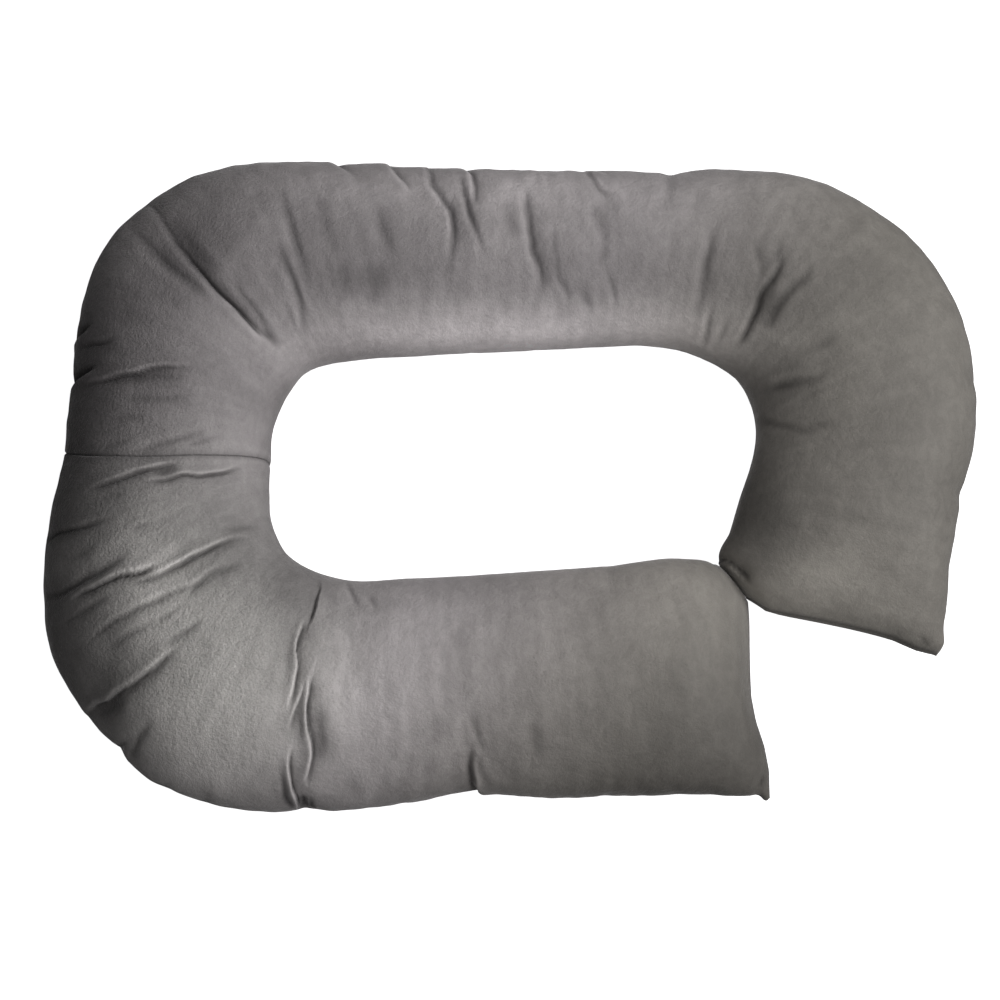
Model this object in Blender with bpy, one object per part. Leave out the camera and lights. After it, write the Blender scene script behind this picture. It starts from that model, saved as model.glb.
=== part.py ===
"""C-shaped body pillow lying flat: one long filled tube of velvet, bent round on itself.

The pillow is one closed solid, lofted along its length. A row of SECTIONS is a cut straight across the
tube, from its outer edge to its inner edge, with the height of the crown there. The first row is the sewn
end of the short arm, and the last is the sewn end of the long arm. A row of FOLDS is a crease in the
cover, which sinks the points beside its path and swells them a little further off.

Sizes in the tables are in millimetres. The part is built in metres, +Z up, with the origin on the floor
under the middle of its box.
"""

from collections import namedtuple

import bmesh
import bpy
import numpy as np

NAME = "body_pillow"
MM = 0.001

EDGE_HEIGHT = 82.0  # the side edges above the floor
END_HEIGHT = 66.0  # a sewn end above the floor, at its middle
EAR_DROP = 24.0  # how much lower than that the corners of an end hang
EAR_SHARPNESS = 4  # higher keeps the drop nearer to the corners
END_LENGTH = 150.0  # how far from a sewn end the tube reaches its full height
END_SHARPNESS = 0.62  # under 1 the ends rise more steeply
CLOTH_EDGE = 3.0  # half the thickness of a sewn end
FLOOR_PRESS = 1.22  # over 1 the underside lies flat on the floor
CROWN_FULLNESS = 0.86  # under 1 the section is fuller than an ellipse
END_STEPS = (0.0, 6.0, 14.0, 24.0, 38.0, 54.0)
END_LINE_FADE = 70.0  # how far from a sewn end its wavy line straightens out
CROSS_SEAM_STEPS = (-8.0, -3.0, 0.0, 3.0, 8.0)
TOP_ANGLES = 13  # points across the top, both edges counted
BOTTOM_ANGLES = 9

CROSS_SEAM_ROW = 15  # the row of SECTIONS on which the cover's two lengths are sewn together
CROSS_SEAM_DEPTH = 5.0  # how far the cover is drawn in there
CROSS_SEAM_WIDTH = 4.0
CROSS_SEAM_BOW = 19.0  # how far along the tube the seam sags at the crown
CROSS_SEAM_SLANT = 8.5  # how far along it runs ahead at the outer edge, and stays behind at the inner
CROSS_SEAM_BOW_REACH = 60.0  # how far from the seam the sections bow with it

PATH_POINTS = 24  # along a fold
SPACING_SAMPLES = 2000  # places at which the distance between sections is read off
FOLD_SWELL = 0.3  # height of the swelling beside a fold, as a share of its depth
SWELL_PLACE = 2.2  # how far from the fold the swelling is highest, in widths of the fold
FOLD_FLOOR = 12.0  # under this height nothing is folded
FOLD_FULL = 64.0  # over this height a fold has its full depth

VELVET_GREY = (0.19, 0.18, 0.18, 1)
VELVET_ROUGHNESS = 0.85
VELVET_SHEEN = 0.6

# How far each sewn end stands out from a straight line, at places from its inner corner to its outer ear.
END_PLACES = (-1.0, -0.75, -0.5, -0.25, 0.0, 0.25, 0.5, 0.75, 1.0)
SHORT_ARM_END = (0, -4, -8, -11, -13, -10, -2, 2, 0)
LONG_ARM_END = (0, 9, 13, 12, 9, 8, 5, 3, 0)

# Where a section's outer and inner edges are, its crown above the floor, and the distance between the
# loft's sections there.
Section = namedtuple("Section", "outer_x outer_y inner_x inner_y crown step")
SECTIONS = (
    Section(340, -441, 323, -172, 150, 16),
    Section(303, -441, 284, -132, 162, 16),
    Section(230, -440, 225, -121, 172, 18),
    Section(138, -441, 122, -132, 178, 20),
    Section(38, -442, 26, -139, 180, 16),
    Section(-55, -438, -63, -145, 178, 9),
    Section(-147, -449, -145, -149, 176, 14),
    Section(-227, -461, -214, -152, 168, 9),
    Section(-313, -464, -258, -145, 176, 7),
    Section(-403, -453, -289, -133, 186, 9),
    Section(-487, -422, -314, -115, 188, 8),
    Section(-560, -356, -330, -90, 188, 8),
    Section(-615, -276, -341, -60, 186, 8),
    Section(-643, -177, -344, -27, 182, 8),
    Section(-643, -66, -345, -2, 178, 9),
    Section(-630, 19, -344, 22, 172, 9),
    Section(-628, 108, -343, 65, 176, 9),
    Section(-621, 219, -332, 102, 182, 9),
    Section(-594, 324, -317, 131, 186, 12),
    Section(-517, 410, -298, 155, 188, 8),
    Section(-415, 457, -266, 168, 186, 8),
    Section(-313, 465, -226, 174, 182, 8),
    Section(-205, 463, -166, 179, 178, 8),
    Section(-89, 457, -82, 184, 173, 8),
    Section(28, 454, 20, 189, 172, 8),
    Section(130, 450, 112, 194, 174, 9),
    Section(216, 449, 178, 197, 176, 16),
    Section(310, 451, 234, 189, 180, 12),
    Section(412, 440, 279, 170, 184, 9),
    Section(501, 399, 312, 147, 188, 12),
    Section(579, 327, 329, 118, 188, 15),
    Section(628, 243, 337, 87, 186, 15),
    Section(644, 139, 337, 53, 182, 15),
    Section(638, 35, 328, 13, 180, 16),
    Section(612, -50, 312, -31, 178, 18),
    Section(593, -134, 295, -82, 170, 18),
    Section(588, -192, 280, -118, 160, 16),
    Section(580, -247, 322, -164, 150, 16),
)

# A fold's path through three points, its depth at each of them, and its width.
Fold = namedtuple("Fold", "name x1 y1 x2 y2 x3 y3 depth1 depth2 depth3 width")
FOLDS = (
    Fold("top_left_diagonal", -523, 391, -412, 234, -326, 161, 3, 17, 2, 12),
    Fold("top_left_second", -388, 247, -358, 197, -329, 161, 1, 6, 4, 9),
    Fold("left_notch", -625, 152, -597, 167, -538, 172, 12, 8, 0, 8),
    Fold("left_above_seam", -607, 115, -533, 114, -449, 124, 2, 8, 0, 8),
    Fold("below_seam_outer", -573, -44, -519, -26, -451, -9, 0, 8, 0, 8),
    Fold("below_seam_inner", -495, -35, -435, -24, -369, -2, 0, 5, 0, 8),
    Fold("left_middle", -637, -93, -572, -93, -482, -86, 4, 5, 0, 10),
    Fold("left_low_outer", -613, -182, -549, -162, -504, -138, 3, 10, 0, 10),
    Fold("left_low_middle", -580, -188, -528, -169, -470, -153, 2, 11, 1, 9),
    Fold("left_low_inner", -506, -171, -415, -135, -340, -101, 1, 13, 2, 10),
    Fold("left_bend_soft", -552, -239, -456, -186, -338, -134, 1, 7, 1, 12),
    Fold("left_bend_faint", -523, -265, -473, -233, -417, -200, 0, 4, 0, 12),
    Fold("left_bend_low", -567, -321, -472, -275, -419, -229, 3, 13, 0, 12),
    Fold("left_corner_small", -517, -385, -490, -361, -464, -341, 5, 6, 0, 9),
    Fold("corner_dent_1", -527, -384, -516, -379, -507, -374, 9, 4, 0, 9),
    Fold("corner_dent_2", -460, -440, -456, -433, -449, -425, 8, 3, 0, 11),
    Fold("corner_dent_3", -396, -459, -394, -450, -390, -441, 3, 2, 0, 12),
    Fold("bundle_top", -259, -150, -264, -192, -272, -223, 4, 11, 6, 8),
    Fold("bundle_left", -278, -226, -281, -272, -294, -339, 6, 14, 0, 9),
    Fold("bundle_right", -266, -287, -257, -354, -268, -447, 0, 13, 8, 10),
    Fold("bundle_low", -292, -391, -289, -425, -283, -461, 0, 9, 7, 8),
    Fold("bundle_notch", -266, -466, -265, -454, -264, -437, 13, 9, 4, 8),
    Fold("pucker", -50, -443, -56, -412, -55, -379, 14, 11, 0, 8),
    Fold("pucker_side", -60, -339, -51, -367, -39, -398, 0, 6, 0, 9),
    Fold("lower_arm_small", -225, -158, -216, -178, -206, -203, 4, 5, 0, 8),
    Fold("top_1", -327, 375, -312, 330, -298, 285, 0, 8, 0, 12),
    Fold("top_2", -320, 287, -305, 238, -293, 180, 0, 8, 0, 11),
    Fold("top_3", -196, 358, -182, 317, -183, 228, 0, 5, 3, 13),
    Fold("edge_dip_1", -250, 459, -243, 431, -234, 409, 8, 5, 0, 9),
    Fold("edge_dip_2", -170, 458, -172, 423, -184, 434, 9, 4, 0, 9),
    Fold("top_4", -122, 443, -105, 365, -87, 275, 6, 12, 0, 10),
    Fold("edge_dip_3", -94, 458, -91, 426, -84, 406, 8, 4, 0, 9),
    Fold("top_5", -77, 403, -65, 354, -51, 308, 2, 9, 0, 9),
    Fold("edge_dip_4", -69, 455, -58, 410, -55, 379, 3, 7, 0, 6),
    Fold("top_6", 15, 377, 22, 319, 39, 240, 1, 12, 1, 10),
    Fold("top_7", 53, 329, 58, 277, 73, 232, 0, 7, 0, 11),
    Fold("top_8", 111, 448, 122, 394, 131, 361, 5, 7, 0, 8),
    Fold("top_9", 121, 283, 130, 251, 139, 220, 0, 4, 0, 11),
    Fold("top_10", 268, 323, 260, 278, 250, 216, 0, 5, 0, 14),
    Fold("right_bend_crease", 364, 309, 345, 248, 301, 165, 5, 15, 3, 12),
    Fold("right_bend_soft", 408, 284, 374, 234, 341, 191, 0, 6, 0, 14),
    Fold("right_inner_1", 338, 117, 374, 112, 414, 112, 3, 4, 0, 12),
    Fold("right_inner_2", 340, 72, 372, 50, 431, 38, 3, 5, 0, 11),
)


def spline(knots, values, at):
    """A smooth curve through values at knots, read at the given places."""
    slopes = np.gradient(values, knots)
    i = np.clip(np.searchsorted(knots, at, side="right") - 1, 0, len(knots) - 2)
    span = knots[i + 1] - knots[i]
    t = (at - knots[i]) / span
    rise = values[i + 1] - values[i]
    start = slopes[i] * span - rise
    end = rise - slopes[i + 1] * span
    return values[i] + t * rise + t * (1 - t) * (start * (1 - t) + end * t)


def row_stations():
    """How far along the tube each row of SECTIONS lies, measured down its middle."""
    rows = np.array(SECTIONS, float)
    middle = (rows[:, 0:2] + rows[:, 2:4]) / 2
    steps = np.linalg.norm(np.diff(middle, axis=0), axis=1)
    return np.concatenate([[0.0], np.cumsum(steps)])


def spaced(start, end, knots, steps):
    """Places between start and end, as far apart as the rows' steps ask."""
    fine = np.linspace(start, end, SPACING_SAMPLES)
    density = 1 / np.interp(fine, knots, steps)
    count = np.concatenate([[0.0], np.cumsum((density[1:] + density[:-1]) / 2 * np.diff(fine))])
    return np.interp(np.linspace(0, count[-1], round(count[-1]) + 1)[1:-1], count, fine)


def stations():
    """Where the loft's sections lie along the tube: close at the ends and at the cross seam."""
    knots = row_stations()
    steps = np.array(SECTIONS, float)[:, 5]
    length = knots[-1]
    ends = np.array(END_STEPS)
    seam = knots[CROSS_SEAM_ROW] + np.array(CROSS_SEAM_STEPS)
    before = spaced(ends[-1], seam[0], knots, steps)
    after = spaced(seam[-1], length - ends[-1], knots, steps)
    return np.concatenate([ends, before, seam, after, length - ends[::-1]])


def rise_from_end(along, length):
    """0 at a sewn end, 1 where the tube is full."""
    near = np.clip(np.minimum(along, length - along) / END_LENGTH, 0, 1)
    return np.sin(np.pi / 2 * near**END_SHARPNESS)


def end_fade(from_end):
    """1 at a sewn end, 0 once past it."""
    near = np.clip(1 - from_end / END_LINE_FADE, 0, 1)
    return near * near * (3 - 2 * near)


def bowed(at, across, up):
    """Places along the tube, drawn along it so that the cross seam slants and sags as it was sewn."""
    away = (at - row_stations()[CROSS_SEAM_ROW]) / CROSS_SEAM_BOW_REACH
    drawn = CROSS_SEAM_SLANT * across - CROSS_SEAM_BOW * np.maximum(up, 0)
    return at + drawn * np.exp(-(away**2))


def loft():
    """Points of every section, as an array of sections by points by xyz."""
    top = np.linspace(0, np.pi, TOP_ANGLES)
    bottom = np.linspace(np.pi, 2 * np.pi, BOTTOM_ANGLES)[1:-1]
    angle = np.concatenate([top, bottom])
    across, up = np.cos(angle), np.sin(angle)
    profile = np.sign(up) * np.abs(up) ** CROWN_FULLNESS

    knots = row_stations()
    length = knots[-1]
    along = bowed(stations()[:, None], across, up)
    rows = np.array(SECTIONS, float)
    outer_x, outer_y, inner_x, inner_y, crown, _ = (spline(knots, column, along) for column in rows.T)
    full = rise_from_end(along, length)
    middle_height = END_HEIGHT + (EDGE_HEIGHT - END_HEIGHT) * full
    middle_height = middle_height - EAR_DROP * (1 - full) * across**EAR_SHARPNESS
    reach = np.where(up > 0, (crown - EDGE_HEIGHT) * full, EDGE_HEIGHT * FLOOR_PRESS * full)
    height = np.maximum(middle_height + profile * (reach + CLOTH_EDGE), 0)

    half_x, half_y = (outer_x - inner_x) / 2, (outer_y - inner_y) / 2
    size = np.hypot(half_x, half_y)
    stand_out = end_fade(along) * np.interp(across, END_PLACES, SHORT_ARM_END)
    stand_out = stand_out - end_fade(length - along) * np.interp(across, END_PLACES, LONG_ARM_END)
    x = (outer_x + inner_x) / 2 + across * half_x - stand_out * half_y / size
    y = (outer_y + inner_y) / 2 + across * half_y + stand_out * half_x / size
    return np.stack([x, y, height], -1)


def outward(points):
    """The direction square to the cover at each point, away from the filling."""
    along = np.gradient(points, axis=0)
    around = np.roll(points, -1, axis=1) - np.roll(points, 1, axis=1)
    square = np.cross(along, around)
    square /= np.linalg.norm(square, axis=2)[..., None]
    crown = TOP_ANGLES // 2
    return square * np.sign(square[len(points) // 2, crown, 2])


def fold_path(fold):
    """Points along a fold with its depth at each, by a curve through its three points."""
    t = np.linspace(0, 1, PATH_POINTS)
    first, second, third = (1 - t) * (1 - 2 * t), 4 * t * (1 - t), t * (2 * t - 1)
    x = fold.x1 * first + fold.x2 * second + fold.x3 * third
    y = fold.y1 * first + fold.y2 * second + fold.y3 * third
    depth = np.interp(t, [0, 0.5, 1], [fold.depth1, fold.depth2, fold.depth3])
    return x, y, depth


def sunk(points):
    """How far each point of the cover is pulled in by the folds."""
    pulled = np.zeros(points.shape[:2])
    for fold in FOLDS:
        x, y, depth = fold_path(fold)
        away = np.hypot(points[..., 0, None] - x, points[..., 1, None] - y)
        nearest = away.argmin(axis=2)
        away = away.min(axis=2) / fold.width
        shape = np.exp(-(away**2)) - FOLD_SWELL * np.exp(-((away - SWELL_PLACE) ** 2))
        pulled += depth[nearest] * shape
    raised = np.clip((points[..., 2] - FOLD_FLOOR) / (FOLD_FULL - FOLD_FLOOR), 0, 1)
    return pulled * raised * raised * (3 - 2 * raised)


def seam_groove():
    """How far each section is pulled in by the cross seam."""
    away = stations() - row_stations()[CROSS_SEAM_ROW]
    return CROSS_SEAM_DEPTH * np.exp(-((away / CROSS_SEAM_WIDTH) ** 2))


def cover():
    """The loft with its folds and the cross seam sunk into it, centred over the origin."""
    points = loft()
    pulled = sunk(points) + seam_groove()[:, None] * (points[..., 2] > FOLD_FLOOR)
    full = rise_from_end(stations(), row_stations()[-1])
    points = points - outward(points) * (pulled * full[:, None])[..., None]
    points[..., 2] = np.maximum(points[..., 2], 0)
    plan = points[..., :2].reshape(-1, 2)
    points[..., :2] -= (plan.min(axis=0) + plan.max(axis=0)) / 2
    return points


def cap(built, ring):
    """The narrow strip that closes a sewn end, zipped from the outer ear to the inner corner."""
    upper = ring[:TOP_ANGLES]
    lower = ring[:1] + ring[: TOP_ANGLES - 2 : -1]
    i = j = 0
    while i + 1 < len(upper) or j + 1 < len(lower):
        if (i + 1) * (len(lower) - 1) <= (j + 1) * (len(upper) - 1):
            i += 1
            corners = (upper[i - 1], upper[i], lower[j])
        else:
            j += 1
            corners = (upper[i], lower[j], lower[j - 1])
        if len(set(corners)) == 3:
            built.faces.new(corners)


def closed_mesh(points):
    """A mesh through the sections, closed by a strip at each sewn end."""
    around = points.shape[1]
    built = bmesh.new()
    rings = [[built.verts.new(point * MM) for point in ring] for ring in points]
    for ring, following in zip(rings, rings[1:]):
        for i in range(around):
            j = (i + 1) % around
            built.faces.new((ring[i], ring[j], following[j], following[i]))
    cap(built, rings[0])
    cap(built, rings[-1])
    bmesh.ops.triangulate(built, faces=built.faces)
    bmesh.ops.recalc_face_normals(built, faces=built.faces)
    mesh = bpy.data.meshes.new(NAME)
    built.to_mesh(mesh)
    built.free()
    return mesh


def velvet():
    material = bpy.data.materials.new("grey_velvet")
    material.use_nodes = True
    shader = material.node_tree.nodes["Principled BSDF"]
    shader.inputs["Base Color"].default_value = VELVET_GREY
    shader.inputs["Roughness"].default_value = VELVET_ROUGHNESS
    shader.inputs["Sheen Weight"].default_value = VELVET_SHEEN
    return material


def main():
    for obj in list(bpy.data.objects):
        bpy.data.objects.remove(obj)
    pillow = bpy.data.objects.new(NAME, closed_mesh(cover()))
    pillow.data.materials.append(velvet())
    collection = bpy.data.collections.new(NAME)
    bpy.context.scene.collection.children.link(collection)
    collection.objects.link(pillow)


main()
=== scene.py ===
"""The C-shaped velvet body pillow, dressed around its CAD solid: fine folds, seams, pile, light and camera.

The cover is one closed mesh, lofted from the same SECTIONS as the solid but finer. FOLDS gives each crease
the path that it takes in the photo, and the script finds the places on the cover that its camera sees there.
A cloth simulation with pressure inside swells the cover between them.

Sizes are in millimetres where nothing else is said. A place on the cover is (along, angle): along the tube's
middle line from the short arm's end, and around it from the outer edge over the crown to the inner edge.
"""

from collections import namedtuple

import bmesh
import bpy
import numpy as np
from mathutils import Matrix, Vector, kdtree, noise

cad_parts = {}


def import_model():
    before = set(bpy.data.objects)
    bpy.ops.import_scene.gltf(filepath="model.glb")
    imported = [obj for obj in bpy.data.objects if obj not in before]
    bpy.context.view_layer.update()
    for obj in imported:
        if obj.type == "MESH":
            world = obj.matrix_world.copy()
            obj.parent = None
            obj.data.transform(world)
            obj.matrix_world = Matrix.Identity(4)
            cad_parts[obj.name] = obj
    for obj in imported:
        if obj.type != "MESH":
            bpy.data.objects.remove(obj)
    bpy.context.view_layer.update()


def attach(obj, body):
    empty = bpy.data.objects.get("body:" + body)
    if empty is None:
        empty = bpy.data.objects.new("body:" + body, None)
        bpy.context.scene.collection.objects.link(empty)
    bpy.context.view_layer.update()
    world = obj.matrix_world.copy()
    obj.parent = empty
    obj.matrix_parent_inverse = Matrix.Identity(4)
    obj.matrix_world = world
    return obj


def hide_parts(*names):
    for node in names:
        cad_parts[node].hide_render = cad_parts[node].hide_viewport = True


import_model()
MM = 0.001
NAME = "pillow_cover"
TINY = 1e-9  # keeps a division from failing


def table(columns, *rows):
    """Rows of values, each with a name for every column."""
    row = namedtuple("Row", columns)
    return [row(*values) for values in rows]


# The tube, as in the solid.
EDGE_HEIGHT = 82.0  # the side edges above the floor
END_HEIGHT = 66.0  # a sewn end above the floor, at its middle
EAR_DROP = 24.0  # how much lower than that the corners of an end hang
EAR_SHARPNESS = 4  # higher keeps the drop nearer to the corners
END_LENGTH = 150.0  # how far from a sewn end the tube reaches its full height
END_SHARPNESS = 0.62  # under 1 the ends rise more steeply
CLOTH_EDGE = 3.0  # half the thickness of a sewn end
FLOOR_PRESS = 1.22  # over 1 the underside lies flat on the floor
CROWN_FULLNESS = 0.86  # under 1 the section is fuller than an ellipse
END_LINE_FADE = 70.0  # how far from a sewn end its wavy line straightens out
CENTRE = (0.97, -0.42)  # the middle of the solid's box, from the tables' origin

CROSS_SEAM_BOW = 19.0  # how far along the tube the seam sags at the crown
CROSS_SEAM_SLANT = 8.5  # how far along it runs ahead at the outer edge, and stays behind at the inner
CROSS_SEAM_BOW_REACH = 60.0  # how far from the seam the sections bow with it
CROSS_SEAM_ROW = 15  # the row of SECTIONS on which the cover's two lengths are sewn together

# How far each sewn end stands out from a straight line, at places from its inner corner to its outer ear.
END_PLACES = (-1.0, -0.75, -0.5, -0.25, 0.0, 0.25, 0.5, 0.75, 1.0)
SHORT_ARM_END = (0, -4, -8, -11, -13, -10, -2, 2, 0)
LONG_ARM_END = (4, 17, 14.5, 10.5, 7, 4.5, 3, 6, 0.5)

# Where a section's outer and inner edges are, its crown above the floor, and the step between the sections
# of a loft there, which STEP_SHARE scales.
SECTIONS = table(
    "outer_x outer_y inner_x inner_y crown step",
    (340, -441, 323, -172, 150, 14),
    (303, -441, 284, -132, 162, 16),
    (230, -440, 225, -121, 172, 18),
    (138, -441, 122, -132, 178, 18),
    (38, -442, 26, -139, 180, 14),
    (-55, -438, -63, -145, 178, 9),
    (-147, -449, -145, -149, 176, 12),
    (-227, -461, -214, -152, 168, 8),
    (-313, -464, -258, -145, 176, 7),
    (-403, -453, -289, -133, 186, 8),
    (-487, -422, -314, -115, 188, 8),
    (-560, -356, -330, -90, 188, 7),
    (-615, -276, -341, -60, 186, 7),
    (-643, -177, -344, -27, 182, 7),
    (-643, -66, -345, -2, 178, 8),
    (-630, 19, -344, 22, 172, 8),
    (-628, 108, -343, 65, 176, 8),
    (-621, 219, -332, 102, 182, 8),
    (-594, 324, -317, 131, 186, 8),
    (-517, 410, -298, 155, 188, 7),
    (-415, 457, -266, 168, 186, 7),
    (-313, 465, -226, 174, 182, 8),
    (-205, 463, -166, 179, 178, 8),
    (-89, 457, -82, 184, 173, 8),
    (28, 454, 20, 189, 172, 8),
    (130, 450, 112, 194, 174, 9),
    (216, 449, 178, 197, 176, 12),
    (310, 451, 234, 189, 180, 10),
    (412, 440, 279, 170, 184, 9),
    (501, 399, 312, 147, 188, 10),
    (579, 327, 329, 118, 188, 12),
    (628, 243, 337, 87, 186, 13),
    (644, 139, 337, 53, 182, 14),
    (638, 35, 328, 13, 180, 14),
    (612, -50, 312, -31, 178, 16),
    (593, -134, 295, -82, 170, 14),
    (588, -192, 280, -118, 160, 14),
    (580, -247, 322, -164, 150, 14),
)
ROWS = np.array(SECTIONS, float)

# The fine loft: where its sections and the points around them lie.
STEP_SHARE = 0.31  # the distance between its sections, as a share of the steps in SECTIONS
SPACING_SAMPLES = 4000  # places at which that distance is read off
END_STEPS = (0.0, 1.2, 2.6, 4.0, 5.6, 7.6, 10.0, 13.0, 16.0, 19.0)
CROSS_SEAM_STEPS = (-6.0, -4.2, -3.0, -2.0, -1.2, -0.6, 0.0, 0.6, 1.2, 2.0, 3.0, 4.2, 6.0)
TOP_ANGLES = 64  # points across the top, both edges counted
SIDE_ANGLES = (4, 9, 15, 22, 30, 39, 50)  # degrees below an edge
UNDER_ANGLES = 10

# Stretches with more sections: the place along the tube, how far it reaches, and how many times as many
# sections it has on top of the usual number.
CLOSER_FLATNESS = 4  # how level the number is over such a stretch
CLOSER = table(
    "at reach more",
    (605, 26, 1.6),
    (396, 12, 0.8),
    (905, 130, 0.45),
    (1150, 45, 0.45),
    (1325, 30, 0.9),
    (2140, 26, 0.7),
    (1680, 42, 0.45),
)

# The photo's width and height in pixels, and the camera that repeats it: the sensor's width and the lens in
# millimetres, and the rest in metres and degrees.
PHOTO_SIZE = 1000
SENSOR = 36.0
LENS = 56.95
AIM = (-0.0214, -0.036, 0.08)
ELEVATION = 76.0
DISTANCE = 2.2
FARTHEST_SEEN = 50

# The shape that all folds share. Distances beside a fold are in widths of that fold.
FOLD_POINTS = 24  # points between two places of a fold's path
FOLD_REACH = 12.0  # how far a fold is felt
FOLD_DEPTH = 0.9  # scales all depths
CORE_SHARE = 0.5  # how much of a fold's depth is in its narrow valley, and not in the slope beside it
SLOPE_WIDTH = 5.5  # the half width of that slope
SLOPE_SHARE = 0.5  # a ridge of this share takes the place of the slope
RIDGE_NEAR = 0.95  # a ridge rises from here
RIDGE_FAR = 3.4  # and ends here
LEAN = 0.5  # how far a ridge leans over its fold, as a share of the ridge's height
FOLD_FLOOR = 12.0  # under this height nothing is folded
FOLD_FULL = 50.0  # over this height a fold has its full depth
WAVER = 2.2  # how far folds waver to the side
WAVER_SIZE = 26.0
WAVER_SHIFTS = ((51.9, 17.1, 35.7), (8.4, 63.2, 22.5), (37.3, 4.8, 71.6))  # one for each axis
NUDGE_ALONG = 1.0  # small steps over the cover
NUDGE_AROUND = 0.01  # in radians

# Painted shade and painted highlight: how much darker the cloth is painted in a fold, and how much lighter
# on its ridge.
CREASE_SHADE = 0.75
CREASE_WIDTH = 0.8
CREASE_DEPTH = 8.0  # a fold of this depth has the full shade
SLOPE_SHADE = 0.45
SLOPE_SHADE_WIDTH = 3.0
CREST_LIGHT = 0.8
CREST_PLACE = 1.7
CREST_WIDTH = 0.7
LIGHTEST_CREASE = -0.4
DARKEST_CREASE = 1.3

# The unevenness of the filling, and the faint wrinkles across the tube.
LUMP_HEIGHT = 3.0
LUMP_SIZE = 95.0
DIMPLE_HEIGHT = 1.1
DIMPLE_SIZE = 34.0
DIMPLE_SHIFT = (9, 4, 2)
WRINKLE_HEIGHT = 0.9
WRINKLE_SPACING = 15.0
WRINKLE_RUN = 2.2  # how often a wrinkle breaks up on its way around the tube
INNER_CALM = 0.8  # how much of all that is missing along the inner edge
INNER_CALM_REACH = 0.6  # in radians

# The cross seam's groove, the wider dip that it lies in, and the painted shade in them.
CROSS_SEAM_DEPTH = 2.4
CROSS_SEAM_WIDTH = 1.0
CROSS_SEAM_SOFTNESS = 1.3
CROSS_SEAM_DIP = 1.2
CROSS_SEAM_REACH = 8.0
CROSS_SEAM_SHADE = 0.27

# The flat lip of a sewn end, the seam beside it, and the painted shade on both.
LIP_WIDTH = 1.8
LIP_FLATNESS = 4
LIP_DEPTH = 1.2
LIP_SEAM_WIDTH = 1.2
LIP_SHADE = 0.35
LIP_SEAM_SHADE = 0.4

# What stands out or is drawn in at the outer corners: how far from the end, its reach, and its height.
EAR_NARROWNESS = 8  # higher keeps it nearer to the outer edge
EAR_COLUMNS = "name place reach height"
SHORT_ARM_EARS = table(EAR_COLUMNS, ("nub", 5, 7, 4.5), ("dent", 22, 9, -2.5))
LONG_ARM_EARS = table(EAR_COLUMNS, ("swelling", 16, 13, 6.0))

# The cloth simulation on a coarser cover, which starts a little smaller than the tube.
COARSE_STEP = 6.0
COARSE_AROUND = 64
COARSE_FOLDS = 0.5  # how deep its folds are, as a share of the fine ones
SHRINK = 3.0  # how much smaller
SLACK_LEAST = 0.01  # how much too long the cloth is, as a share
SLACK_MOST = 0.06
BEND_REACH = 12  # sections over which a bend's slack evens out
HELD_UNDER = 4.0  # under this height the cloth is held by the floor
HELD_SHARE = 0.1  # how firmly the rest is held to its place
CLOTH_FRAMES = 20
CLOTH_QUALITY = 5
CLOTH_MASS = 0.2
CLOTH_STIFFNESS = 15.0
CLOTH_SHEAR = 5.0
CLOTH_BENDING = 0.1
CLOTH_PRESSURE = 4.0
BROAD_ALONG = 9  # cells over which the broad swelling is taken off, since SECTIONS has it already
BROAD_AROUND = 6
MOST_MOVED = 9.0  # how far the swelling moves a point at most

# The faint streaks across the tube that a hand leaves when it strokes the pile.
STREAK_TONE = 0.08
STREAK_SPACING = 13.0
STREAK_RUN = 1.6
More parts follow.
